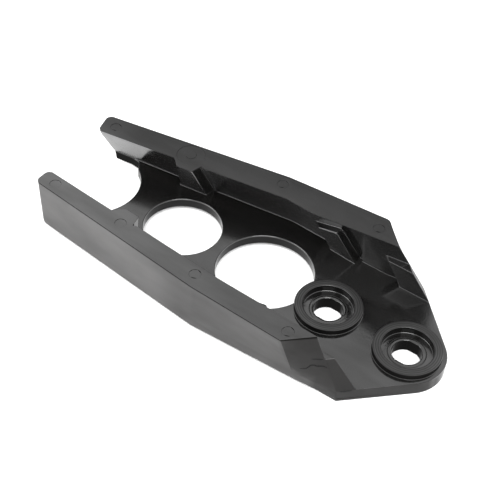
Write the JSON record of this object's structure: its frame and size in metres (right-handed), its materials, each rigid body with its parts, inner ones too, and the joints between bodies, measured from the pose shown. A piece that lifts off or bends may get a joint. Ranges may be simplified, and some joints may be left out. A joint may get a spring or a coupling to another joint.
{
  "type": "chain slider",
  "caption": "Moulded chain slider channel: two rubbing rails spreading from an open mouth to a tab with slotted bolt seats, for a motorbike swingarm.",
  "frame": {"origin": "midway between the two bolt slots, on the seat face under them", "axes": "+X along the line of the slots towards the tab's round tip, +Z from the seat face up towards the rails' edges; the rails spread to +Y and -Y"},
  "size_m": [0.2114, 0.0935, 0.0278],
  "materials": {
    "slider_plastic": "black moulded nylon with a satin, slightly scuffed surface"
  },
  "bodies": {
    "root": {"chain_slider": "slider_plastic"}
  },
  "joints": []
}
